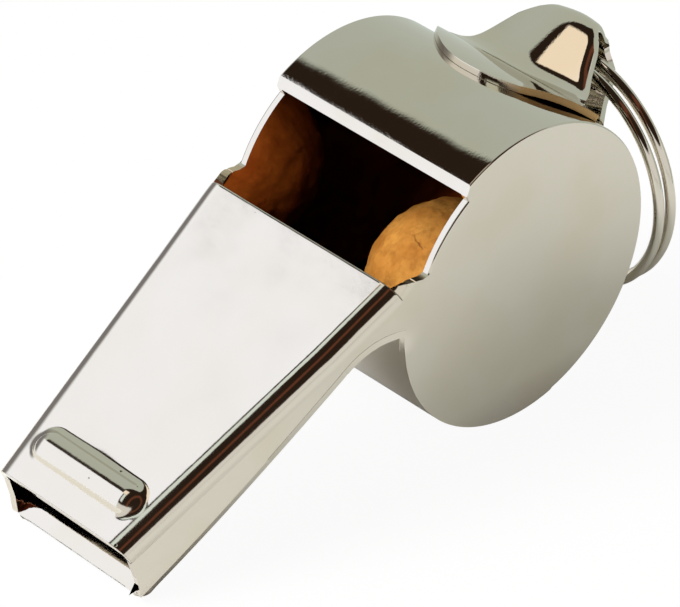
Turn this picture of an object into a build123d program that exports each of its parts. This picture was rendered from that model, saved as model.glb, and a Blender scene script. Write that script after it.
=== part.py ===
from build123d import *
import os
from math import asin, atan2, cos, degrees, hypot, radians, sin, sqrt

# Sports whistle made of soldered brass sheet, with a loose cork pea and a split ring.
# It is drawn along its mouthpiece: X runs along it with the mouth towards -X, the roof
# is level, and the Y axis is the barrel's axis. At the end the body is tipped mouth down,
# until the barrel and the lower lip both touch the table. Lengths are in millimetres.

# Body
sheet = 0.6  # wall of every stamped piece
body_width = 20.0  # over the outer faces of the two cheeks
barrel_radius = 12.4  # outside of the barrel band

# Mouthpiece
roof_drop = 1.04  # upper face of the roof below the top of the barrel
roof_length = 26.9
roof_edge_radius = 1.7  # rounded side edges of the roof
mouth_width = 14.4  # outside, at the front of the roof
mouth_height = 5.0  # outside, from the roof down to the lower lip
lower_lip_overhang = 1.15  # the lower lip stands this far in front of the roof
lower_lip_corner = 0.9
throat_angle = 147.6  # where the curled floor meets the barrel, from +X
throat_run = 5.03  # length of the floor's curled end
throat_depth = 3.06  # from the roof down to the underside where the curl starts
floor_bow = 0.4  # sag of the floor between the lip and the throat
floor_seat = 0.8  # the band runs this far up behind the floor's end
neck_run = 0.33  # the cheeks bend inwards this far in front of the barrel
neck_bend_radius = 6.0

# Tooth bead across the roof
bead_length = 11.0
bead_width = 2.8
bead_height = 0.9
bead_setback = 3.4  # from the front of the roof to the middle of the bead
bead_offset = 0.5  # from the middle of the roof towards +Y
bead_round = 0.75

# Sound window
lip_x = 0.2  # top of the lip's bevel
lip_bevel_run = 0.75
window_length = 8.45  # from the tip of the lip to the roof
window_drop = 1.15  # the cheeks' edges lie this far below the barrel's surface
window_corner_angle = 124.0  # lowest corner of the cheeks' edges, from +X
ear_drop = 0.66  # top of the cheeks' ears below the roof

# Tail loop for the ring
tail_sheet = 0.55
tail_arch_width = 5.6  # outside, across the arch
tail_fillet = 1.2
tail_foot_angle = 46.0  # front edge of the foot at its middle, from +X
tail_tip_angle = 21.5
tail_tip_inset = 0.7  # the tips of the feet stop this far inside the cheeks' faces
tail_shoulder_width = 11.1
tail_crown_width = 5.4

# Split ring
ring_diameter = 19.8  # across the middle of the wire
ring_wire = 0.85
ring_gap = 0.42  # between the two turns
ring_barrel_gap = 1.634  # between the hanging ring and the barrel
ring_loop_gap = 0.44  # between the hanging ring and the inside of the loop's crown
ring_jog_angle = 60.0  # stretch in which the wire crosses to its second turn
ring_end_gap = 4.0  # the wire's ends stop short of the crossing, degrees
ring_jog_place = 150.0  # middle of the crossing, from the top towards +Y

# Cork pea
pea_diameter = 13.6
pea_clearance = 0.15  # to the barrel and to the cheek it leans on

# Worked out from the sizes above
half_width = body_width / 2
inner_radius = barrel_radius - sheet
window_radius = barrel_radius - window_drop
roof_height = barrel_radius - roof_drop
lip_tip_x = lip_x - lip_bevel_run
roof_rear_x = lip_tip_x - window_length
roof_front_x = roof_rear_x - roof_length
seat_x = barrel_radius * cos(radians(throat_angle))
seat_z = barrel_radius * sin(radians(throat_angle))
neck_x = seat_x - neck_run
mouth_x = roof_front_x - lower_lip_overhang
lip_floor_z = roof_height - mouth_height
seam_z = roof_height - roof_edge_radius
taper = (half_width - mouth_width / 2) / (neck_x - roof_front_x)
reach = 2 * barrel_radius - mouth_x
tilt = degrees(asin(barrel_radius / hypot(mouth_x, lip_floor_z)) + atan2(lip_floor_z, -mouth_x))
ring_pitch = ring_wire + ring_gap
ring_half_thickness = (ring_pitch + ring_wire) / 2
ring_outset = tail_arch_width / 2 - tail_sheet - ring_half_thickness - ring_loop_gap
ring_x = barrel_radius + ring_barrel_gap + ring_half_thickness
tail_axis_x = (ring_x - ring_outset) / cos(radians(tilt))


def polar(radius, angle):
    """Point at an angle from +X, in the side view or in a ring's own plane."""
    return radius * cos(radians(angle)), radius * sin(radians(angle))


def height_on_barrel(x, radius):
    return sqrt(radius**2 - x**2)


def side_prism(sketch):
    """Side-view sketch (X, Z) drawn out through the whole width."""
    return extrude(Plane.XZ * sketch, reach, both=True)


def plan_prism(sketch, low, high):
    """Plan-view sketch (X, Y) drawn up between two heights."""
    return Pos(0, 0, low) * extrude(sketch, high - low)


def slab(x_low, x_high, z_low, z_high):
    """Block over the whole width."""
    return Pos((x_low + x_high) / 2, 0, (z_low + z_high) / 2) * Box(x_high - x_low, reach, z_high - z_low)


def body_plan():
    """Outside of the body seen from above: parallel cheeks, then the tapered mouthpiece."""
    end_x = mouth_x - sheet * 4
    end_half = half_width + taper * (end_x - neck_x)
    back_x = 2 * barrel_radius
    right = [(back_x, -half_width), (neck_x, -half_width), (end_x, -end_half)]
    left = [(x, -y) for x, y in reversed(right)]
    plan = make_face(Polyline(*right, *left, close=True))
    necks = plan.vertices().sort_by(lambda vertex: abs(vertex.X - neck_x))[:2]
    return fillet(necks, neck_bend_radius)


def mouthpiece_hull(inset):
    """Solid tunnel shape of the mouthpiece with rounded upper edges, drawn in by inset."""
    plan = offset(body_plan(), -inset) if inset else body_plan()
    block = plan_prism(plan, -2 * barrel_radius, roof_height - inset)
    roof_edges = block.faces().sort_by(Axis.Z)[-1].edges().filter_by(Axis.Y, reverse=True)
    return fillet(roof_edges, roof_edge_radius - inset)


def floor_lines():
    """Underside of the mouthpiece floor, from the lower lip to its curled end on the barrel."""
    lip = Vector(mouth_x, lip_floor_z)
    throat = Vector(seat_x - throat_run, roof_height - throat_depth)
    middle = (lip + throat) * 0.5 - Vector(0, floor_bow)
    ramp = ThreePointArc(lip, middle, throat)
    curl = TangentArc(throat, (seat_x, seat_z), tangent=ramp % 1)
    return ramp, curl


def window_cut():
    """Side-view region in front of the lip and above the barrel band's front end."""
    top = 2 * barrel_radius
    band_end_z = seat_z + floor_seat
    corners = [
        (lip_x, top),
        (lip_x, height_on_barrel(lip_x, barrel_radius)),
        (lip_tip_x, height_on_barrel(lip_tip_x, inner_radius)),
        (lip_tip_x, band_end_z),
        (-top, band_end_z),
        (-top, top),
    ]
    return make_face(Polyline(*corners, close=True))


def make_floor():
    """Mouthpiece floor: bowed sheet with its rear end curled down onto the barrel."""
    ramp, curl = floor_lines()
    sheet_face = make_face(offset(Wire([ramp, curl]), sheet, side=Side.LEFT))
    plan = body_plan() & Pos(mouth_x + reach / 2, 0) * Rectangle(reach, reach)
    corners = plan.vertices().sort_by(Axis.X)[:2]
    rounded = fillet(corners, lower_lip_corner)
    strip = side_prism(sheet_face) & plan_prism(rounded, -barrel_radius, roof_height)
    return strip - side_prism(Circle(barrel_radius))


def make_roof():
    """Mouthpiece roof: stamped plate with rounded, turned-down sides and a hollow tooth bead."""
    shell = mouthpiece_hull(0) - mouthpiece_hull(sheet)
    plate = shell & slab(roof_front_x, roof_rear_x, seam_z, roof_height)
    bead_place = Pos(roof_front_x + bead_setback, bead_offset, roof_height - sheet)
    ridge = bead_place * extrude(Rot(0, 0, 90) * SlotOverall(bead_length, bead_width), bead_height + sheet)
    ridge = fillet(ridge.faces().sort_by(Axis.Z)[-1].edges(), bead_round)
    hollow_length = bead_length - 2 * sheet
    hollow_width = bead_width - 2 * sheet
    hollow = bead_place * extrude(Rot(0, 0, 90) * SlotOverall(hollow_length, hollow_width), bead_height)
    return plate + ridge - hollow


def make_barrel_band():
    """Barrel wall: sheet rolled round from the bevelled lip to the seat of the floor."""
    ring_face = Circle(barrel_radius) - Circle(inner_radius) - window_cut()
    inside_width = body_width - 2 * sheet
    return extrude(Plane.XZ * ring_face, inside_width / 2, both=True)


def make_cheeks(floor):
    """Both cheeks: flat discs whose front ends bend inwards as the mouthpiece's sides."""
    ramp, curl = floor_lines()
    disc = Circle(barrel_radius) - (window_cut() - Circle(window_radius))
    ear = (roof_rear_x, roof_height - ear_drop)
    top_line = Polyline(
        (seat_x, seat_z),
        polar(barrel_radius / 2, throat_angle),
        polar(window_radius, window_corner_angle),
        ear,
        (roof_rear_x, seam_z),
        (roof_front_x, seam_z),
        (mouth_x, lip_floor_z),
    )
    snout = make_face([ramp, curl, *top_line.edges()])
    shell = mouthpiece_hull(0) - mouthpiece_hull(sheet)
    discs = extrude(Plane.XZ * disc, half_width, both=True)
    discs -= extrude(Plane.XZ * disc, half_width - sheet, both=True)
    pair = discs + (side_prism(snout) & shell) - floor
    return pair.solids().sort_by(Axis.Y)


def make_tail():
    """Tail loop: sheet bent into an arch, with two wide feet soldered to the barrel."""
    foot_radius = barrel_radius + tail_sheet
    arch = tail_arch_width / 2

    def ribbon_edge(radius, half_height, bend):
        tongue = Pos(tail_axis_x / 2, 0) * Rectangle(tail_axis_x, 2 * half_height)
        keyhole = Circle(radius) + tongue + Pos(tail_axis_x, 0) * Circle(half_height)
        root_x = height_on_barrel(half_height, radius)
        roots = keyhole.vertices().sort_by(lambda vertex: abs(vertex.X - root_x))[:2]
        return fillet(roots, bend)

    ribbon = ribbon_edge(foot_radius, arch, tail_fillet)
    ribbon -= ribbon_edge(barrel_radius, arch - tail_sheet, tail_fillet + tail_sheet)
    foot_x = polar(foot_radius, tail_foot_angle)[0]
    tip = polar(foot_radius, tail_tip_angle)[0], half_width - tail_tip_inset
    root_x = height_on_barrel(arch, foot_radius)
    shoulder = root_x + tail_fillet, tail_shoulder_width / 2
    crown = tail_axis_x + arch + tail_sheet, tail_crown_width / 2
    side = Spline(tip, shoulder, crown, tangents=[(0.3, -1), (1, -0.15)])
    front = ThreePointArc((tip[0], -tip[1]), (foot_x, 0), tip)
    closing = Line(crown, (crown[0], -crown[1]))
    outline = make_face([front, side, closing, *mirror(side, Plane.XZ).edges()])
    return side_prism(ribbon) & plan_prism(outline, -2 * barrel_radius, 2 * barrel_radius)


def biarc(start, start_tangent, end, end_tangent):
    """Two arcs that leave start and reach end along the given unit tangents."""
    chord = end - start
    both = start_tangent + end_tangent
    bend = 2 * (1 - start_tangent.dot(end_tangent))
    pull = chord.dot(both)
    step = (sqrt(pull**2 + bend * chord.dot(chord)) - pull) / bend
    joint = (start + end + (start_tangent - end_tangent) * step) * 0.5
    return [
        TangentArc(start, joint, tangent=start_tangent),
        TangentArc(end, joint, tangent=end_tangent * -1),
    ]


def make_ring():
    """Split ring about the X axis: one wire, two flat turns and the crossing between them."""
    radius = ring_diameter / 2

    def wire_point(angle, side):
        across, up = polar(radius, 90 - ring_jog_place - angle)
        return Vector(side * ring_pitch / 2, across, up)

    def wire_tangent(angle):
        across, up = polar(1, -ring_jog_place - angle)
        return Vector(0, across, up)

    def turn(first, last, side):
        middle = (first + last) / 2
        halves = [(first, middle), (middle, last)]
        return [
            ThreePointArc(wire_point(a, side), wire_point((a + b) / 2, side), wire_point(b, side))
            for a, b in halves
        ]

    half_jog = ring_jog_angle / 2
    begin = half_jog + ring_end_gap - 360
    finish = 360 - half_jog - ring_end_gap
    crossing = biarc(
        wire_point(-half_jog, -1), wire_tangent(-half_jog), wire_point(half_jog, 1), wire_tangent(half_jog)
    )
    path = Wire(turn(begin, -half_jog, -1) + crossing + turn(half_jog, finish, 1))
    nearest = min(
        (path @ (i / 200) - path @ (j / 200)).length
        for i in range(201)
        for j in range(201)
        if abs(i - j) > 40
    )
    print("split ring: wire length", round(path.length, 2), "least gap", round(nearest - ring_wire, 3))
    section = Plane(path @ 0, z_dir=path % 0) * Circle(ring_wire / 2)
    return sweep(section, path)


floor_piece = make_floor()
right_cheek, left_cheek = make_cheeks(floor_piece)
body = {
    "mouthpiece_roof": make_roof(),
    "mouthpiece_floor": floor_piece,
    "barrel_band": make_barrel_band(),
    "left_cheek": left_cheek,
    "right_cheek": right_cheek,
    "tail_loop": make_tail(),
}

# The body tips mouth down about the barrel's axis, and the ring hangs at the outer end of the tipped loop.
pieces = {name: Rot(0, -tilt, 0) * piece for name, piece in body.items()}
loop_x, loop_z = polar(tail_axis_x, tilt)
pieces["split_ring"] = Pos(ring_x, 0, loop_z - ring_diameter / 2) * make_ring()

# The pea lies at the bottom of the barrel, against the right cheek.
pea_orbit = inner_radius - pea_diameter / 2 - pea_clearance
pea_y = pea_diameter / 2 + pea_clearance - (half_width - sheet)
pieces["cork_pea"] = Pos(0, pea_y, -pea_orbit) * Sphere(pea_diameter / 2)

# The origin is on the table, under the middle of the whole.
box = Compound(list(pieces.values())).bounding_box()
settle = Vector(-(box.min.X + box.max.X) / 2, -(box.min.Y + box.max.Y) / 2, -box.min.Z)
os.makedirs("parts", exist_ok=True)
for name, piece in pieces.items():
    export_step(Pos(*settle) * piece, f"parts/{name}.step")
print("barrel axis", settle, "ring axis", settle + Vector(loop_x, 0, loop_z), "tilt", round(tilt, 3))
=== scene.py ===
from math import atan2, cos, degrees, exp, hypot, pi, radians, sin, sqrt

import bpy
from mathutils import Matrix, Vector, noise


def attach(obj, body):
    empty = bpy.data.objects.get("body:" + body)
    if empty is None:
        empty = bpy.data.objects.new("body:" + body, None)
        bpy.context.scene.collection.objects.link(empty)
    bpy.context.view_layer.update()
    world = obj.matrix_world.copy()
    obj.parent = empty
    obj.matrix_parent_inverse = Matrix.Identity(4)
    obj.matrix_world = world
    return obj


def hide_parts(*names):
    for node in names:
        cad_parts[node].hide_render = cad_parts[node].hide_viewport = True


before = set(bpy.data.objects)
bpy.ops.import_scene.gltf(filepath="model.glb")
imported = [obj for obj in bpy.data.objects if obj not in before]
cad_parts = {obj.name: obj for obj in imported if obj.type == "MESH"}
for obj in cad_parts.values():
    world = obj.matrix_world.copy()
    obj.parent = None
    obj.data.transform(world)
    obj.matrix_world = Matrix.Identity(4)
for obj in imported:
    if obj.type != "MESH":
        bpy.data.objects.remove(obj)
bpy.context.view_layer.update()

# Barrel band
# A strip of brass sheet rolled round into the barrel's wall, open at the sound window.
# Its end there is filed to a bevel, which is the lip that splits the air.
BARREL_RADIUS = 12.4
SHEET = 0.6
HALF_WIDTH = 10.0
LIP_TOP_X = 0.2
LIP_TIP_X = -0.55
BAND_TURN = 305.7
TILT = radians(29.001)
UP, LEFT, RIGHT, REAR, FRONT = (0, 0, 1), (0, 1, 0), (0, -1, 0), (1, 0, 0), (-1, 0, 0)
# Pieces are shaped in millimetres along the level mouthpiece, with the barrel's axis on Y.
# This tips them mouth down onto the table, in metres.
ON_TABLE = (
    Matrix.Translation((0.0098811, 0, 0.0124))
    @ Matrix.Rotation(-TILT, 4, "Y")
    @ Matrix.Scale(0.001, 4)
)


def on_circle(radius, angle):
    return radius * cos(radians(angle)), radius * sin(radians(angle))


def share(value, start, full):
    """How far a value has come from start to full, between 0 and 1."""
    return min(max((value - start) / (full - start), 0), 1)


def ease(value, start, full):
    """The same with a slow start and end."""
    k = share(value, start, full)
    return k * k * (3 - 2 * k)


def linear(code, brightness=1):
    """sRGB hex colour as linear RGBA."""
    channels = [int(code[i : i + 2], 16) / 255 for i in (1, 3, 5)]
    channels = [c / 12.92 if c <= 0.04045 else ((c + 0.055) / 1.055) ** 2.4 for c in channels]
    return [brightness * c for c in channels] + [1]


def add_node(tree, kind, settings=None, links=None):
    """Adds a node: settings are its properties or input values, links its inputs' sources."""
    made = tree.nodes.new(kind)
    for key, value in (settings or {}).items():
        if isinstance(key, str) and hasattr(made, key):
            setattr(made, key, value)
        else:
            made.inputs[key].default_value = value
    for key, source in (links or {}).items():
        tree.links.new(source, made.inputs[key])
    return made


def start_piece():
    if bpy.context.object and bpy.context.object.mode != "OBJECT":
        bpy.ops.object.mode_set(mode="OBJECT")
    bpy.ops.object.select_all(action="DESELECT")


def apply_modifier(piece, kind, **settings):
    made = piece.modifiers.new(kind.lower(), kind)
    for key, value in settings.items():
        setattr(made, key, value)
    bpy.ops.object.modifier_apply(modifier=made.name)


def face_outwards(piece):
    bpy.ops.object.mode_set(mode="EDIT")
    bpy.ops.mesh.select_all(action="SELECT")
    bpy.ops.mesh.remove_doubles(threshold=0.0005)
    bpy.ops.mesh.normals_make_consistent(inside=False)
    bpy.ops.object.mode_set(mode="OBJECT")


def round_edges(piece, width, segments, chosen):
    """Bevels those sharp edges of a piece whose middle is chosen."""
    bpy.ops.object.mode_set(mode="EDIT")
    bpy.ops.mesh.select_mode(type="EDGE")
    bpy.ops.mesh.select_all(action="DESELECT")
    bpy.ops.mesh.edges_select_sharp(sharpness=radians(50))
    bpy.ops.object.mode_set(mode="OBJECT")
    points = piece.data.vertices
    for edge in piece.data.edges:
        first, second = edge.vertices
        if edge.select and not chosen((points[first].co + points[second].co) / 2):
            edge.select = False
    bpy.ops.object.mode_set(mode="EDIT")
    bpy.ops.mesh.bevel(offset=width, segments=segments, affect="EDGES")
    bpy.ops.object.mode_set(mode="OBJECT")


def put_on_table(piece, material, node, body, place=ON_TABLE):
    bpy.ops.object.shade_smooth_by_angle(angle=radians(40))
    apply_modifier(piece, "WEIGHTED_NORMAL", keep_sharp=True, weight=60)
    piece.data.transform(place)
    piece.data.materials.clear()
    piece.data.materials.append(material)
    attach(piece, body)
    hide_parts(node)


def plate_finish(name, line, line_depth, wave, wave_depth, pit_spacing, pit_share, haze, roughest):
    """Nickel plate on brass sheet. Lengths are in millimetres, and depths in thousandths of one.

    line is the length, width and height of a polishing line, and wave the spacing of slow dents.
    One spot in pit_spacing millimetres may be pitted, and pit_share of them are.
    """
    plate = bpy.data.materials.new(name)
    plate.use_nodes = True
    tree = plate.node_tree
    shader = tree.nodes["Principled BSDF"]
    place = add_node(tree, "ShaderNodeTexCoord").outputs["Object"]

    stretch = {"operation": "MULTIPLY", 1: [1000 / size for size in line]}
    stretched = add_node(tree, "ShaderNodeVectorMath", stretch, {0: place})
    grain = {"Scale": 1, "Detail": 2}
    lines = add_node(tree, "ShaderNodeTexNoise", grain, {"Vector": stretched.outputs[0]})
    waves = add_node(tree, "ShaderNodeTexNoise", {"Scale": 1000 / wave, "Detail": 1}, {"Vector": place})
    spots = add_node(tree, "ShaderNodeTexVoronoi", {"Scale": 1000 / pit_spacing}, {"Vector": place})
    pit_edge, pit_floor = 0.13 / pit_spacing, 0.05 / pit_spacing
    step = {"interpolation_type": "SMOOTHSTEP", "From Min": pit_edge, "From Max": pit_floor}
    hole = add_node(tree, "ShaderNodeMapRange", step, {"Value": spots.outputs["Distance"]})
    pick = add_node(tree, "ShaderNodeSeparateColor", {}, {0: spots.outputs["Color"]})
    few = {"operation": "LESS_THAN", 1: pit_share}
    rare = add_node(tree, "ShaderNodeMath", few, {0: pick.outputs["Red"]})
    both = {0: hole.outputs[0], 1: rare.outputs[0]}
    pits = add_node(tree, "ShaderNodeMath", {"operation": "MULTIPLY"}, both)

    # A dull haze tints the plate, the inside is tarnished, brass shows at worn edges, and a pit is dark.
    cloud = add_node(tree, "ShaderNodeTexNoise", {"Scale": 1000 / 9, "Detail": 3}, {"Vector": place})
    step = {"From Min": 0.45, "From Max": 0.75, "To Max": haze}
    hazy = add_node(tree, "ShaderNodeMapRange", step, {"Value": cloud.outputs[0]})
    tints = {"data_type": "RGBA", 6: linear("#D4CDC0"), 7: linear("#C6B891")}
    colour = add_node(tree, "ShaderNodeMix", tints, {0: hazy.outputs[0]})
    inside = add_node(tree, "ShaderNodeAttribute", {"attribute_name": "tarnish"})
    brown = {"data_type": "RGBA", 7: linear("#A2745E")}
    colour = add_node(tree, "ShaderNodeMix", brown, {0: inside.outputs["Fac"], 6: colour.outputs[2]})
    worn = add_node(tree, "ShaderNodeAttribute", {"attribute_name": "wear"})
    brass = {"data_type": "RGBA", 7: linear("#CDAA74")}
    colour = add_node(tree, "ShaderNodeMix", brass, {0: worn.outputs["Fac"], 6: colour.outputs[2]})
    dirt = {"data_type": "RGBA", 7: linear("#5A4E42")}
    colour = add_node(tree, "ShaderNodeMix", dirt, {0: pits.outputs[0], 6: colour.outputs[2]})
    tree.links.new(colour.outputs[2], shader.inputs["Base Color"])

    smudge = add_node(tree, "ShaderNodeTexNoise", {"Scale": 1000 / 3.5, "Detail": 3}, {"Vector": place})
    dull = {"From Min": 0.3, "From Max": 0.75, "To Min": 0.4 * roughest, "To Max": roughest}
    roughness = add_node(tree, "ShaderNodeMapRange", dull, {"Value": smudge.outputs[0]})
    rubbed = {"operation": "MULTIPLY_ADD", 1: 0.5}
    roughness = add_node(tree, "ShaderNodeMath", rubbed, {0: worn.outputs["Fac"], 2: roughness.outputs[0]})
    tree.links.new(roughness.outputs[0], shader.inputs["Roughness"])
    shader.inputs["Metallic"].default_value = 1

    micron = 1e-6
    pit_depth = -25
    scaled = {"operation": "MULTIPLY", 1: line_depth * micron}
    height = add_node(tree, "ShaderNodeMath", scaled, {0: lines.outputs[0]})
    for source, depth in ((waves, wave_depth), (pits, pit_depth)):
        more = {"operation": "MULTIPLY_ADD", 1: depth * micron}
        height = add_node(tree, "ShaderNodeMath", more, {0: source.outputs[0], 2: height.outputs[0]})
    bump = add_node(tree, "ShaderNodeBump", {"Distance": 1}, {"Height": height.outputs[0]})
    tree.links.new(bump.outputs[0], shader.inputs["Normal"])
    return plate


# Polished nickel: a warm mirror. Its fine polishing lines fray the edges of what it reflects,
# slow dents bend them, and here and there it has a pit.
nickel = plate_finish(
    "polished_nickel_plate",
    line=(0.22, 0.16, 0.22),
    line_depth=2.4,
    wave=5.0,
    wave_depth=30,
    pit_spacing=5.0,
    pit_share=0.22,
    haze=0.3,
    roughest=0.05,
)

start_piece()
bpy.ops.mesh.primitive_plane_add(size=1)
band = bpy.context.object
band.name = "barrel_band_sheet"
inside = HALF_WIDTH - SHEET
lip_top = Vector((LIP_TOP_X, 0, sqrt(BARREL_RADIUS**2 - LIP_TOP_X**2)))
lip_tip = Vector((LIP_TIP_X, 0, sqrt((BARREL_RADIUS - SHEET) ** 2 - LIP_TIP_X**2)))
for corner in band.data.vertices:
    place = lip_top if corner.co.x > 0 else lip_tip
    corner.co = (place.x, inside if corner.co.y > 0 else -inside, place.z)
bpy.ops.object.mode_set(mode="EDIT")
bpy.ops.mesh.select_all(action="SELECT")
bpy.ops.mesh.spin(steps=216, angle=radians(BAND_TURN), center=(0, 0, 0), axis=RIGHT)
face_outwards(band)
round_edges(band, 0.05, 3, lambda middle: abs(middle.y) < inside - 0.1)
put_on_table(band, nickel, "barrel_band", "whistle")

# Cheeks
# Two flat discs of brass sheet, soldered to the band's edges. In front of the barrel each
# bends inwards and runs on as the side of the mouthpiece.
ROOF_Z = 11.36
SEAM_Z = 9.66
ROOF_REAR_X = -9.0
ROOF_FRONT_X = -35.9
MOUTH_X = -37.05
LIP_FLOOR_Z = 6.36
SEAT = Vector(on_circle(BARREL_RADIUS, 147.6))
THROAT = Vector((-15.5, 8.3))
THROAT_SHARE = 0.7
FLOOR_BOW = 1.6
FLOOR_BEND = Vector((-12.6, 8.774))
SEAM_OPENS_X = -24.0
RIM_START = 89.08
RIM_TURN = 301.48
WINDOW_RADIUS = 11.25
# The roof and the floor lap the cheeks' edges and stand a little proud of them.
OVERLAP = 0.03
STAND_OUT = 0.012
# The mouthpiece isn't quite straight: towards the mouth its upper edges lie to the left of its lower ones.
NEAR_LEAN = 0.85
FAR_LEAN = 0.25
# Where the neck's bend starts, and the ear between window and roof, with the spacing of the cuts there.
DISC_FRONT_X = -13.0
DISC_FLAT_Z = 5.0
DISC_BENT_Z = 7.2
NECK_X = -8.42
EAR_X = -6.53
EAR_Z = 8.8
EAR_RADIUS = 1.7
CUT = 0.3


def half_width(x):
    """Half of the body's outside width: parallel, then a bend of 15 mm radius, then a taper."""
    start, radius, turn = -8.7, 15.0, radians(6.03)
    run = start - x
    if run <= 0:
        return HALF_WIDTH
    if run <= radius * sin(turn):
        return HALF_WIDTH - radius + sqrt(radius**2 - run**2)
    return HALF_WIDTH - radius * (1 - cos(turn)) - (run - radius * sin(turn)) * sin(turn) / cos(turn)


def lean(x, z, left):
    """How far a point of the mouthpiece lies to the left. Left is 0 on the right side and 1 on the left."""
    return share(x, -16, -36) * share(z, 6.4, 9.6) * (NEAR_LEAN + (FAR_LEAN - NEAR_LEAN) * left)


def floor_point(t, lift):
    """Point along the mouthpiece's underside, from the lower lip (0) over the throat to the barrel (1)."""
    if t < THROAT_SHARE:
        k = t / THROAT_SHARE
        lip = Vector((MOUTH_X, LIP_FLOOR_Z))
        point = lip.lerp(THROAT, k) - Vector((0, FLOOR_BOW * k * (1 - k)))
        along = (THROAT - lip) - Vector((0, FLOOR_BOW * (1 - 2 * k)))
    else:
        k = (t - THROAT_SHARE) / (1 - THROAT_SHARE)
        point = THROAT * (1 - k) ** 2 + FLOOR_BEND * 2 * k * (1 - k) + SEAT * k**2
        along = (FLOOR_BEND - THROAT) * (1 - k) + (SEAT - FLOOR_BEND) * k
    along.normalize()
    return point + Vector((-along.y, along.x)) * lift


def cheek_outline():
    """Outline of a cheek before its front end is bent inwards."""
    points = [on_circle(BARREL_RADIUS, RIM_START - RIM_TURN * i / 240) for i in range(241)]
    points += [tuple(floor_point(1 - i / 60, SHEET - OVERLAP)) for i in range(3, 61)]
    points += [(ROOF_FRONT_X - 0.5 + 0.08 * i, 8.2 + (SEAM_Z - 8.2) * i / 6) for i in range(7)]
    points += [(-30, SEAM_Z), (-20, SEAM_Z), (-12, SEAM_Z), (ROOF_REAR_X, SEAM_Z)]
    points += [(ROOF_REAR_X, 10.3), (ROOF_REAR_X, 10.95), (-8.65, 10.86), (-8.2, 10.6), (-7.65, 10.25)]
    points += [(-7.2, 9.87), (-6.8, 9.5)]
    points += [on_circle(WINDOW_RADIUS, 124 - 31 * i / 30) for i in range(31)]
    points += [(LIP_TIP_X, 11.78)]
    return points


def cheek_half(x, z):
    """Half width at a cheek. The disc stays flat, and the bend starts above its joint with the floor."""
    bent = ease(z, DISC_FLAT_Z, DISC_BENT_Z) if x > DISC_FRONT_X else 1
    return HALF_WIDTH + (half_width(x) - HALF_WIDTH) * bent


def ear_curl(x, z):
    """How far the corner between window and roof curls in, as the roof's side does."""
    ear = share(x, -6.3, -8.3) * min(max(z - SEAM_Z, 0), 1.5)
    return EAR_RADIUS - sqrt(EAR_RADIUS**2 - ear**2)


def cut_faces(piece, normal, places, chosen):
    """Cuts the faces whose centre is chosen, at places along an axis."""
    bpy.context.tool_settings.mesh_select_mode = (False, False, True)
    for place in places:
        for face in piece.data.polygons:
            face.select = chosen(face.center)
        bpy.ops.object.mode_set(mode="EDIT")
        bpy.ops.mesh.bisect(plane_co=[place * n for n in normal], plane_no=normal)
        bpy.ops.object.mode_set(mode="OBJECT")


def on_rim(middle):
    on_outside = abs(middle.y) > HALF_WIDTH - SHEET / 2
    return abs(hypot(middle.x, middle.z) - BARREL_RADIUS) < 0.1 and middle.x > -3 and on_outside


def on_window(middle):
    on_outside = abs(middle.y) > HALF_WIDTH - SHEET / 2
    on_edge = 9 < middle.z and hypot(middle.x, middle.z) < WINDOW_RADIUS + 0.35
    return -6.25 < middle.x < 0 and on_edge and on_outside


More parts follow.
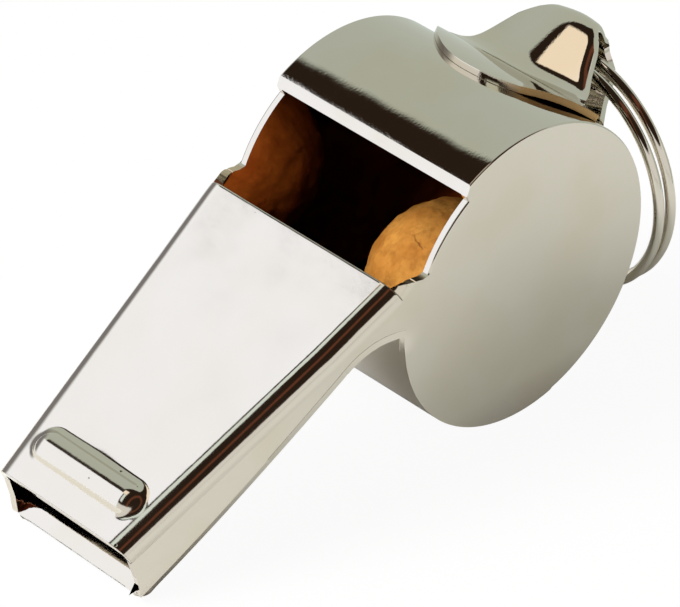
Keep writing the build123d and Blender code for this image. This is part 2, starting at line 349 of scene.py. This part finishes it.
for side, node, name in ((-1, "right_cheek", "right_cheek_sheet"), (1, "left_cheek", "left_cheek_sheet")):
    start_piece()
    outline = cheek_outline()
    bpy.ops.mesh.primitive_circle_add(vertices=len(outline), fill_type="NGON")
    cheek = bpy.context.object
    cheek.name = name
    for corner, (x, z) in zip(cheek.data.vertices, outline):
        corner.co = (x, 0, z)
    # The flat face is cut where it bends: at the neck, along the mouthpiece and at the ear.
    cut_faces(cheek, UP, (5.0, 5.4, 5.8, 6.2, 6.6, 7.0), lambda at: at.x > -14)
    cut_faces(cheek, REAR, [NECK_X - CUT * i for i in range(14)], lambda at: at.z > DISC_FLAT_Z)
    cut_faces(cheek, REAR, [THROAT.x - i for i in range(21)], lambda at: at.x < -10.4)
    cut_faces(cheek, UP, (7.2, 7.8, 8.4, 9.0), lambda at: at.x < THROAT.x)
    cut_faces(cheek, UP, (EAR_Z,), lambda at: at.x > NECK_X and at.z > 7)
    cut_faces(cheek, REAR, [EAR_X - CUT * i for i in range(6)], lambda at: at.x > NECK_X and at.z > EAR_Z)
    ear_cuts = (9.75, 10.0, 10.2, 10.4, 10.7)
    cut_faces(cheek, UP, ear_cuts, lambda at: ROOF_REAR_X - 0.1 < at.x < EAR_X and at.z > EAR_Z)
    bpy.ops.object.mode_set(mode="EDIT")
    bpy.ops.mesh.select_all(action="SELECT")
    bpy.ops.mesh.remove_doubles(threshold=0.07)
    bpy.ops.object.mode_set(mode="OBJECT")
    for corner in cheek.data.vertices:
        x, z = corner.co.x, corner.co.z
        corner.co.y = side * (cheek_half(x, z) - ear_curl(x, z)) + lean(x, z, 0.5 + 0.5 * side)
    bpy.ops.object.mode_set(mode="EDIT")
    bpy.ops.mesh.select_all(action="SELECT")
    bpy.ops.mesh.normals_make_consistent(inside=False)
    bpy.ops.object.mode_set(mode="OBJECT")
    if cheek.data.polygons[0].normal.y * side < 0:
        cheek.data.flip_normals()
    apply_modifier(cheek, "SOLIDIFY", thickness=SHEET, offset=-1)
    for corner in cheek.data.vertices:
        corner.co.x = max(corner.co.x, MOUTH_X)
    round_edges(cheek, 0.14, 4, on_rim)
    round_edges(cheek, 0.17, 4, on_window)
    # The inner face is tarnished, and the ear's edge is worn.
    tarnish = cheek.data.attributes.new("tarnish", "FLOAT", "FACE")
    for face in cheek.data.polygons:
        tarnish.data[face.index].value = 1 if face.normal.y * side < -0.7 else 0
    wear = cheek.data.attributes.new("wear", "FLOAT", "FACE")
    for face in cheek.data.polygons:
        on_ear = ROOF_REAR_X < face.center.x < -6.4 and face.center.z > 9.3
        wear.data[face.index].value = 0.5 if on_ear and abs(face.normal.y) < 0.5 else 0
    put_on_table(cheek, nickel, node, "whistle")

# Mouthpiece floor
# A bowed strip that the cheeks stand on. Its front edge turns down a little as the lower lip,
# and its rear end curls down and is soldered to the barrel.
LIP_TURN_RUN = 1.5
LIP_TURN_RISE = 0.2
LIP_CORNER = 0.9


def bend_sheet(name, along, across, shape):
    """Adds a flat grid and bends it: shape gives each point's place in millimetres."""
    start_piece()
    bpy.ops.mesh.primitive_grid_add(x_subdivisions=along, y_subdivisions=across, size=2)
    sheet = bpy.context.object
    sheet.name = name
    for corner in sheet.data.vertices:
        corner.co = shape((corner.co.x + 1) / 2, (corner.co.y + 1) / 2)
    return sheet


def floor_shape(t, v):
    # The mesh is finer at the lip.
    point = floor_point(t * t if t < 0.2 else 0.04 + (t - 0.2) * 1.2, SHEET)
    from_lip = point.x - MOUTH_X
    corner = max(LIP_CORNER - from_lip, 0)
    width = half_width(point.x) - LIP_CORNER + sqrt(max(LIP_CORNER**2 - corner**2, 0))
    turned = min(from_lip / LIP_TURN_RUN, 1)
    off_side = min((1 - abs(2 * v - 1)) / 0.12, 1)
    rise = LIP_TURN_RISE * (turned - 0.12 * turned**6) * off_side * max(1 - from_lip / 20, 0)
    y = (2 * v - 1) * (width + STAND_OUT) + lean(point.x, point.y, v)
    return point.x, y, point.y + rise


floor_sheet = bend_sheet("mouthpiece_floor_sheet", 130, 60, floor_shape)
if floor_sheet.data.polygons[0].normal.z < 0:
    floor_sheet.data.flip_normals()
apply_modifier(floor_sheet, "SOLIDIFY", thickness=SHEET, offset=-1)


def on_lip_or_underside(middle):
    if middle.x < SEAM_OPENS_X:
        return True
    k = (middle.x - MOUTH_X) / (THROAT.x - MOUTH_X)
    underside = LIP_FLOOR_Z + (THROAT.y - LIP_FLOOR_Z) * k - FLOOR_BOW * k * (1 - k)
    return k < 1 and middle.z < underside + SHEET / 2


round_edges(floor_sheet, 0.06, 3, on_lip_or_underside)
put_on_table(floor_sheet, nickel, "mouthpiece_floor", "whistle")

# Mouthpiece roof
# A stamped plate with rounded, turned-down sides, soldered over the cheeks. A bead for the
# teeth is pressed up from the sheet near its front.
BEAD_X = -32.5
BEAD_Y = 0.5
BEAD_HALF = 4.1
BEAD_HALF_WIDTH = 1.4
BEAD_HEIGHT = 0.9
BEAD_RADIUS = (BEAD_HALF_WIDTH**2 + BEAD_HEIGHT**2) / (2 * BEAD_HEIGHT)
BEAD_FOOT = 0.45
# From the front to here the mesh is finer. Across, these shares of it go to the flat and to each skirt.
NEAR_BEAD = 6.4
FLAT_SHARE = 0.75
SKIRT_SHARE = 0.03


def bead_lift(x, y):
    """Height of the pressed bead over the flat sheet: a round bar on a hollow-cornered foot."""
    away = hypot(x - BEAD_X, max(abs(y - BEAD_Y) - BEAD_HALF, 0))
    bar = sqrt(max(BEAD_RADIUS**2 - away**2, 0)) - BEAD_RADIUS + BEAD_HEIGHT
    foot = BEAD_FOOT * max(1 - (away - BEAD_HALF_WIDTH + 0.3) / 0.75, 0) ** 2
    # Just behind the bead the press has pulled the sheet up a little.
    behind = x - BEAD_X - BEAD_HALF_WIDTH
    pull = 0.05 * exp(-((behind / 0.55) ** 2) - ((y - BEAD_Y) / 2.4) ** 2) if behind > 0 else 0
    return max(bar, 0, min(foot, BEAD_FOOT)) + pull


def roof_shape(u, v):
    if u < 0.5:
        x = ROOF_FRONT_X + u / 0.5 * NEAR_BEAD
    else:
        x = ROOF_FRONT_X + NEAR_BEAD + (u - 0.5) / 0.5 * (ROOF_REAR_X - ROOF_FRONT_X - NEAR_BEAD)
    from_rear = ROOF_REAR_X - x
    half = half_width(x) + STAND_OUT
    forward = from_rear / (ROOF_REAR_X - ROOF_FRONT_X)
    # Towards the front the rounding is wider and the sides hang lower, and the rear droops.
    round_run = 1.6 + 0.2 * forward
    skirt = 0.12 + 0.42 * forward
    droop = 0.1 * max(1 - from_rear / 12, 0) ** 2
    side = 1 if v > 0.5 else -1
    out = abs(2 * v - 1)
    if out > 1 - SKIRT_SHARE:
        z = SEAM_Z - OVERLAP + (skirt + OVERLAP) * (1 - out) / SKIRT_SHARE
        return x, side * half + lean(x, ROOF_Z, v), z
    turn = share(out, FLAT_SHARE, 1 - SKIRT_SHARE) * pi / 2
    reach = half - round_run * (1 - sin(turn)) if turn > 0 else out / FLAT_SHARE * (half - round_run)
    y = side * reach + lean(x, ROOF_Z, 0.5 + 0.5 * side * reach / half)
    height = (ROOF_Z - droop - SEAM_Z - skirt) * cos(turn)
    return x, y, SEAM_Z + skirt + height + bead_lift(x, y)


# Satin nickel: the same plate left as it came from the press, with a fine leathery grain,
# broader dents and more pits, so that it looks pale and mottled.
satin = plate_finish(
    "satin_nickel_plate",
    line=(0.45, 0.34, 0.45),
    line_depth=3.2,
    wave=1.9,
    wave_depth=12,
    pit_spacing=2.3,
    pit_share=0.4,
    haze=0.08,
    roughest=0.15,
)

roof = bend_sheet("mouthpiece_roof_sheet", 170, 190, roof_shape)
middle = max(roof.data.polygons, key=lambda face: face.center.z)
if middle.normal.z < 0:
    roof.data.flip_normals()
apply_modifier(roof, "SOLIDIFY", thickness=SHEET, offset=-1)
round_edges(roof, 0.14, 4, lambda middle: middle.x > ROOF_REAR_X - 0.05 and middle.z > SEAM_Z + 0.3)
round_edges(roof, 0.1, 3, lambda middle: middle.x < ROOF_FRONT_X + 0.05)
put_on_table(roof, satin, "mouthpiece_roof", "whistle")

# Tail loop
# A strip bent into a domed arch over the ring, with its right edge rolled down. Its two crescent feet
# are soldered to the barrel, and the corner of the upper one has lifted a little and worn to the brass.
TAIL_SHEET = 0.55
TAIL_AXIS_X = 16.4005
ARCH = 2.8
FOOT_RADIUS = BARREL_RADIUS + TAIL_SHEET
FOOT_ANGLE = 45.2
TIP_ANGLE = 21.5
LEAVE_ANGLE = 17.0
# The foot reaches further towards the right cheek, and is blunter there.
NEAR_TIP_Y = 9.3
FAR_TIP_Y = 7.65
# The arch falls from a blunt ridge to its edges, by this slope.
RIDGE = 0.22
RIDGE_Y = 0.1
RIDGE_BLUNT = 1.5
FOOT_SHARE = 0.36
LIFT = 0.22
ROLL = 0.85
ROLL_TURN = radians(85)
BEND_STEPS = 16
# Half widths of the strip at places along X, from the feet over the waist to the crown.
FAR_WIDTHS = ((12.1, 7.7), (12.6, 7.0), (13.5, 6.5), (15.3, 5.6), (17.1, 4.7), (18.5, 3.5), (19.7, 2.3))
NEAR_WIDTHS = ((12.1, 8.9), (12.64, 7.0), (13.2, 5.9), (13.8, 5.2), (15.4, 4.2), (17.3, 3.3), (19.7, 1.8))
# Side view of the crown's outside, from its flat top to its end.
CROWN = (
    (14.3, 2.92),
    (15.4, 2.875),
    (16.4, 2.815),
    (17.3, 2.735),
    (18.0, 2.635),
    (18.6, 2.47),
    (19.1, 2.2),
    (19.45, 1.8),
    (19.64, 1.3),
    (19.66, 0.7),
    (19.494, 0),
)


def arch_line():
    """Outside of the bent strip in the side view, from where it leaves the barrel to the crown's end."""
    start = Vector(on_circle(FOOT_RADIUS, LEAVE_ANGLE))
    bend = Vector((13.0, 3.0))
    top = [Vector(point) for point in CROWN]
    line = []
    for i in range(BEND_STEPS):
        k = i / BEND_STEPS
        line.append(start * (1 - k) ** 2 + bend * 2 * k * (1 - k) + top[0] * k**2)
    ends = [2 * top[0] - top[1]] + top + [2 * top[-1] - top[-2]]
    for before, first, second, after in zip(ends, ends[1:], ends[2:], ends[3:]):
        for k in (0, 0.25, 0.5, 0.75):
            point = first + k * (second - before) / 2
            point += k**2 * (before - 2.5 * first + 2 * second - after / 2)
            line.append(point + k**3 * (1.5 * (first - second) + (after - before) / 2))
    return line + [top[-1]]


ARCH_LINE = arch_line()


def tail_half(x, across):
    widths = NEAR_WIDTHS if across < 0 else FAR_WIDTHS
    for (x0, w0), (x1, w1) in zip(widths, widths[1:]):
        if x <= x1:
            return w0 + (w1 - w0) * (x - x0) / (x1 - x0)
    return widths[-1][1]


def foot_edge(across):
    """Angle of the foot's front edge on the barrel."""
    return FOOT_ANGLE - (FOOT_ANGLE - TIP_ANGLE) * abs(across) ** (2.5 if across < 0 else 2.0)


def foot_place(across, k, upper):
    """Point of a foot, from its front edge (0) to where the strip leaves the barrel (1)."""
    edge = foot_edge(across)
    lift = LIFT * sin(pi * share(-across, 0.5, 1)) * (1 - k) ** 2 if upper else 0
    x, z = on_circle(FOOT_RADIUS + lift, edge + (LEAVE_ANGLE - edge) * k)
    tip_y = NEAR_TIP_Y if across < 0 else FAR_TIP_Y
    return x, across * (tip_y + (tail_half(ARCH_LINE[0].x, across) - tip_y) * k), z


def arch_place(across, along, upper):
    """Point of half the arch, from where it leaves the barrel (0) to the crown's end (1)."""
    at = along * (len(ARCH_LINE) - 1)
    i = min(int(at), len(ARCH_LINE) - 2)
    first, second = ARCH_LINE[i], ARCH_LINE[i + 1]
    point = first.lerp(second, at - i)
    run = (second - first).normalized()
    # Inwards across the sheet, turning level where the halves meet.
    inwards = Vector((run.y, -run.x * share(along, 1, 0.75)))
    # The right edge is rolled down along the upper half and, more tightly, round the crown's end.
    roll = 0
    if across < 0:
        rolled = ease(along, 0, 0.2) if upper else ease(along, 0.8, 1)
        roll = ROLL * rolled * (1 - 0.5 * share(along, 0.6, 0.9))
    flat = tail_half(point.x, across) - roll
    reach = abs(across) * (flat + roll * ROLL_TURN)
    drop = 0
    if reach > flat:
        turn = (reach - flat) / roll
        reach = flat + roll * sin(turn)
        drop = roll * (1 - cos(turn))
    y = reach if across > 0 else -reach
    sag = RIDGE * (sqrt((y - RIDGE_Y) ** 2 + RIDGE_BLUNT**2) - RIDGE_BLUNT) * ease(along, 0, 0.35)
    point = point + inwards * (sag + drop)
    if upper or point.x <= TAIL_AXIS_X:
        return point.x, y, point.y
    # Below, the crown is drawn in to a plain round, behind a flat that is upright as the whistle lies.
    from_axis = point - Vector((TAIL_AXIS_X, 0))
    limit = ARCH / cos(max(TILT - atan2(from_axis.y, from_axis.x), 0))
    from_axis *= min(limit / from_axis.length, 1)
    return TAIL_AXIS_X + from_axis.x, y, from_axis.y


def tail_shape(t, v):
    across = 2 * v - 1
    upper = t < 0.5
    q = 1 - abs(2 * t - 1)
    if q < FOOT_SHARE:
        x, y, z = foot_place(across, q / FOOT_SHARE, upper)
    else:
        x, y, z = arch_place(across, (q - FOOT_SHARE) / (1 - FOOT_SHARE), upper)
    return x, y, z if upper else -z


tail = bend_sheet("tail_loop_sheet", 150, 60, tail_shape)
crown = max(tail.data.polygons, key=lambda face: face.center.x)
if crown.normal.x < 0:
    tail.data.flip_normals()
apply_modifier(tail, "SOLIDIFY", thickness=TAIL_SHEET, offset=-1)
round_edges(tail, 0.06, 2, lambda middle: middle.y > 0 or middle.x < 13)
wear = tail.data.attributes.new("wear", "FLOAT", "POINT")
for corner in tail.data.vertices:
    x, y, z = corner.co
    across = max(y / NEAR_TIP_Y, -1) if y < 0 else min(y / FAR_TIP_Y, 1)
    behind_edge = foot_edge(across) - degrees(atan2(z, x))
    wear.data[corner.index].value = share(-y, 3, 5) if z > 0 and behind_edge < 0.7 else 0
put_on_table(tail, nickel, "tail_loop", "whistle")

# Split ring
# Spring wire wound in two turns, with one crossing between them. It hangs at the outer end
# of the tail loop.
RING_RADIUS = 9.9
RING_WIRE = 0.85
RING_PITCH = 1.27
RING_OUTSET = 0.75
WIRE_DEGREES = 652
CROSSING_ANGLE = -60
start_piece()
line = bpy.data.curves.new("split_ring_wire", "CURVE")
line.dimensions = "3D"
line.bevel_depth = RING_WIRE / 2
line.bevel_resolution = 6
line.use_fill_caps = True
wire = line.splines.new("POLY")
wire.points.add(WIRE_DEGREES)
for i in range(WIRE_DEGREES + 1):
    angle = i - WIRE_DEGREES // 2
    offset = (ease(angle, -30, 30) - 0.5) * RING_PITCH
    y, z = on_circle(RING_RADIUS, CROSSING_ANGLE - angle)
    wire.points[i].co = (RING_OUTSET + offset, y, z - RING_RADIUS, 1)
ring = bpy.data.objects.new("split_ring_coil", line)
bpy.context.scene.collection.objects.link(ring)
bpy.context.view_layer.objects.active = ring
ring.select_set(True)
bpy.ops.object.convert(target="MESH")
ring = bpy.context.object
face_outwards(ring)
HANGING = Matrix.Translation((0.0242251, 0, 0.0203512)) @ Matrix.Scale(0.001, 4)
put_on_table(ring, nickel, "split_ring", "ring", HANGING)

# Cork pea
# A ball turned from natural cork, loose in the barrel, where the air drives it round.
# Its skin is rough and a little chipped.
PEA_RADIUS = 6.8
PEA_SKIN = 0.3
cork = bpy.data.materials.new("natural_cork")
cork.use_nodes = True
tree = cork.node_tree
shader = tree.nodes["Principled BSDF"]
shader.inputs["Roughness"].default_value = 0.75
shader.inputs["Specular IOR Level"].default_value = 0.25
# Turned cork: warm orange cells in broad lighter and darker clouds, with brown specks
# and a few open cracks, so that it looks dry and natural beside the metal.
place = add_node(tree, "ShaderNodeTexCoord").outputs["Object"]
broad = {"Scale": 1000 / 2.4, "Detail": 4, "Roughness": 0.6}
clouds = add_node(tree, "ShaderNodeTexNoise", broad, {"Vector": place})
step = {"From Min": 0.32, "From Max": 0.68}
cloudy = add_node(tree, "ShaderNodeMapRange", step, {"Value": clouds.outputs[0]})
tints = {"data_type": "RGBA", 6: linear("#C47E34"), 7: linear("#E3A14B")}
colour = add_node(tree, "ShaderNodeMix", tints, {0: cloudy.outputs[0]})
grains = add_node(tree, "ShaderNodeTexVoronoi", {"Scale": 1000 / 0.32}, {"Vector": place})
grain = add_node(tree, "ShaderNodeSeparateColor", {}, {0: grains.outputs["Color"]})
step = {"From Min": 0.6, "From Max": 1.0, "To Max": 0.3}
specks = add_node(tree, "ShaderNodeMapRange", step, {"Value": grain.outputs["Red"]})
brown = {"data_type": "RGBA", 7: linear("#A4622B")}
colour = add_node(tree, "ShaderNodeMix", brown, {0: specks.outputs[0], 6: colour.outputs[2]})
shift = {"operation": "MULTIPLY_ADD", 1: [0.0016] * 3}
bent = add_node(tree, "ShaderNodeVectorMath", shift, {0: clouds.outputs["Color"], 2: place})
seams = {"feature": "DISTANCE_TO_EDGE", "Scale": 1000 / 4.2}
seams = add_node(tree, "ShaderNodeTexVoronoi", seams, {"Vector": bent.outputs[0]})
step = {"From Min": 0.02, "From Max": 0.004}
thin = add_node(tree, "ShaderNodeMapRange", step, {"Value": seams.outputs["Distance"]})
open_here = add_node(tree, "ShaderNodeTexNoise", {"Scale": 1000 / 3.1, "Detail": 1}, {"Vector": place})
step = {"From Min": 0.6, "From Max": 0.68}
open_share = add_node(tree, "ShaderNodeMapRange", step, {"Value": open_here.outputs[0]})
both = {0: thin.outputs[0], 1: open_share.outputs[0]}
cracks = add_node(tree, "ShaderNodeMath", {"operation": "MULTIPLY"}, both)
dark = {"data_type": "RGBA", 7: linear("#85471F")}
colour = add_node(tree, "ShaderNodeMix", dark, {0: cracks.outputs[0], 6: colour.outputs[2]})
tree.links.new(colour.outputs[2], shader.inputs["Base Color"])
height = add_node(tree, "ShaderNodeMath", {"operation": "MULTIPLY", 1: 6e-5}, {0: grain.outputs["Green"]})
deep = {"operation": "MULTIPLY_ADD", 1: -8e-5}
height = add_node(tree, "ShaderNodeMath", deep, {0: cracks.outputs[0], 2: height.outputs[0]})
bump = add_node(tree, "ShaderNodeBump", {"Distance": 1}, {"Height": height.outputs[0]})
tree.links.new(bump.outputs[0], shader.inputs["Normal"])

start_piece()
bpy.ops.mesh.primitive_ico_sphere_add(subdivisions=7, radius=PEA_RADIUS)
pea = bpy.context.object
pea.name = "cork_pea_ball"
for corner in pea.data.vertices:
    rough = 0.5 + 0.5 * noise.fractal(corner.co / 1.6, 1.0, 2.0, 4)
    chip = max(noise.noise(corner.co / 2.6) - 0.25, 0)
    corner.co *= 1 - (PEA_SKIN * min(max(rough, 0), 1) + 0.5 * chip) / PEA_RADIUS
IN_BARREL = Matrix.Translation((0.0098811, -0.00245, 0.0124 - 0.00485)) @ Matrix.Scale(0.001, 4)
put_on_table(pea, cork, "cork_pea", "pea", IN_BARREL)

# Table, light and camera
# The whistle lies on white paper in a studio: a soft box stands at the back left, a strip light hangs
# overhead under a dark ceiling, a grey wall is behind on the right, and paper sweeps up behind the camera.
start_piece()
TABLE_SIZE = 1.2
TABLE_REACH = Vector((0.06, 0.03, 0))
middle = TABLE_REACH - Vector((TABLE_SIZE / 2, TABLE_SIZE / 2, 0))
bpy.ops.mesh.primitive_plane_add(size=TABLE_SIZE, location=middle)
bpy.ops.object.transform_apply(location=True)
table = bpy.context.object
table.name = "table"
# White paper: matt and plain, so that only the whistle's soft shadow shows on it.
paper = bpy.data.materials.new("white_paper")
paper.use_nodes = True
tree = paper.node_tree
sheet_shader = tree.nodes["Principled BSDF"]
sheet_shader.inputs["Base Color"].default_value = linear("#F4F4F2")
sheet_shader.inputs["Roughness"].default_value = 0.9
sheet_shader.inputs["Specular IOR Level"].default_value = 0.1
path = add_node(tree, "ShaderNodeLightPath")
# For rays from the metal the glow is a faintly green white, a painted tint standing in for the green fill
# light on the shaded paper. For the camera it is plain white.
glow_colours = {"data_type": "RGBA", 6: linear("#F0F6F2"), 7: linear("#FFFFFF")}
glow_colour = add_node(tree, "ShaderNodeMix", glow_colours, {0: path.outputs["Is Camera Ray"]})
glow = add_node(tree, "ShaderNodeEmission", {"Strength": 1}, {"Color": glow_colour.outputs[2]})
bright = {"operation": "MULTIPLY", 1: 0.94}
seen = add_node(tree, "ShaderNodeMath", bright, {0: path.outputs["Is Camera Ray"]})
# In front of the whistle the paper also glows for rays from the metal. This is painted light that makes it
# mirror bright there. Under and behind the whistle it has no such glow and stays in its shadow.
place = add_node(tree, "ShaderNodeTexCoord").outputs["Object"]
place = add_node(tree, "ShaderNodeSeparateXYZ", {}, {0: place})
step = {"From Min": -0.007, "From Max": -0.013, "To Max": 0.42}
painted_glow_in_front = add_node(tree, "ShaderNodeMapRange", step, {"Value": place.outputs["Y"]})
parts = {0: path.outputs["Is Glossy Ray"], 1: painted_glow_in_front.outputs[0], 2: seen.outputs[0]}
glowing = add_node(tree, "ShaderNodeMath", {"operation": "MULTIPLY_ADD"}, parts)
layers = {0: glowing.outputs[0], 1: sheet_shader.outputs[0], 2: glow.outputs[0]}
mixed = add_node(tree, "ShaderNodeMixShader", {}, layers)
tree.links.new(mixed.outputs[0], tree.nodes["Material Output"].inputs["Surface"])
table.data.materials.append(paper)

# Each zone of the studio is a colour with the sides that bound it: a direction, and where along it
# the zone starts and is full. In order: dark ceiling, its brown edge, grey wall, wall's end, strip light
# overhead, its warm end and the soft box. What they leave is the paper behind the camera.
ZONES = (
    (linear("#30251D"), ((UP, 0.30, 0.40),)),
    (linear("#6F4230"), ((UP, 0.30, 0.40), (LEFT, -0.60, -0.52), (RIGHT, 0.36, 0.44))),
    (linear("#CBD3CB"), (((0.629, 0.581, -0.517), -0.01, 0.05),)),
    (linear("#8E8C8F"), ((LEFT, 0.82, 0.95),)),
    (
        linear("#EAF6F4", 1.15),
        ((UP, 0.5, 0.6), (LEFT, 0.06, 0.11), (RIGHT, -0.35, -0.30), (FRONT, 0.20, 0.28)),
    ),
    (
        linear("#FFF1DF", 1.3),
        (
            (UP, 0.5, 0.6),
            (LEFT, 0.06, 0.11),
            (RIGHT, -0.53, -0.48),
            (REAR, -0.26, -0.20),
            (FRONT, -0.14, -0.07),
        ),
    ),
    (
        linear("#EDF2FF", 1.55),
        (((-0.899, 0.248, -0.361), -0.03, 0.01), (LEFT, 0.41, 0.46), (RIGHT, -0.97, -0.80)),
    ),
)
world = bpy.data.worlds.new("studio")
bpy.context.scene.world = world
world.use_nodes = True
tree = world.node_tree
direction = add_node(tree, "ShaderNodeTexCoord").outputs["Generated"]
room = None
for colour, sides in ZONES:
    mask = None
    for normal, start, full in sides:
        toward = {"operation": "DOT_PRODUCT", 1: normal}
        dot = add_node(tree, "ShaderNodeVectorMath", toward, {0: direction})
        step = {"interpolation_type": "SMOOTHSTEP", "From Min": start, "From Max": full}
        within = add_node(tree, "ShaderNodeMapRange", step, {"Value": dot.outputs["Value"]})
        if mask:
            both = {0: mask.outputs[0], 1: within.outputs[0]}
            within = add_node(tree, "ShaderNodeMath", {"operation": "MULTIPLY"}, both)
        mask = within
    below = {0: mask.outputs[0], 6: room} if room else {0: mask.outputs[0]}
    laid = {"data_type": "RGBA", 6: linear("#F9F8F6"), 7: colour}
    room = add_node(tree, "ShaderNodeMix", laid, below).outputs[2]
rays = add_node(tree, "ShaderNodeLightPath")
white = {"data_type": "RGBA", 7: linear("#FFFFFF")}
room = add_node(tree, "ShaderNodeMix", white, {0: rays.outputs["Is Camera Ray"], 6: room}).outputs[2]
tree.links.new(room, tree.nodes["Background"].inputs["Color"])

lamp = bpy.data.lights.new("back_soft_box", "AREA")
lamp.shape = "RECTANGLE"
lamp.size = 0.35
lamp.size_y = 0.35
lamp.energy = 4.4
key = bpy.data.objects.new("back_soft_box", lamp)
bpy.context.scene.collection.objects.link(key)
key.location = (-0.28, 0.28, 0.5)
key.rotation_euler = (Vector((0, 0, 0.01)) - key.location).to_track_quat("-Z", "Y").to_euler()
key.visible_glossy = False

# The photograph's camera, from the fit: its focal length is 4966 of the picture's 680 columns.
lens = bpy.data.cameras.new("camera")
lens.sensor_width = 36
lens.lens = 4966 / 680 * lens.sensor_width
lens.clip_start = 0.01
camera = bpy.data.objects.new("camera", lens)
bpy.context.scene.collection.objects.link(camera)
right = Vector((0.723113, -0.690692, -0.007239))
up = Vector((0.412575, 0.423488, 0.806499))
back = Vector((-0.553977, -0.586176, 0.591192))
aim = Matrix((right, up, back)).transposed().to_4x4()
camera.matrix_world = Matrix.Translation((-0.203463, -0.21582, 0.227088)) @ aim
bpy.context.scene.camera = camera
bpy.context.scene.view_settings.view_transform = "Standard"
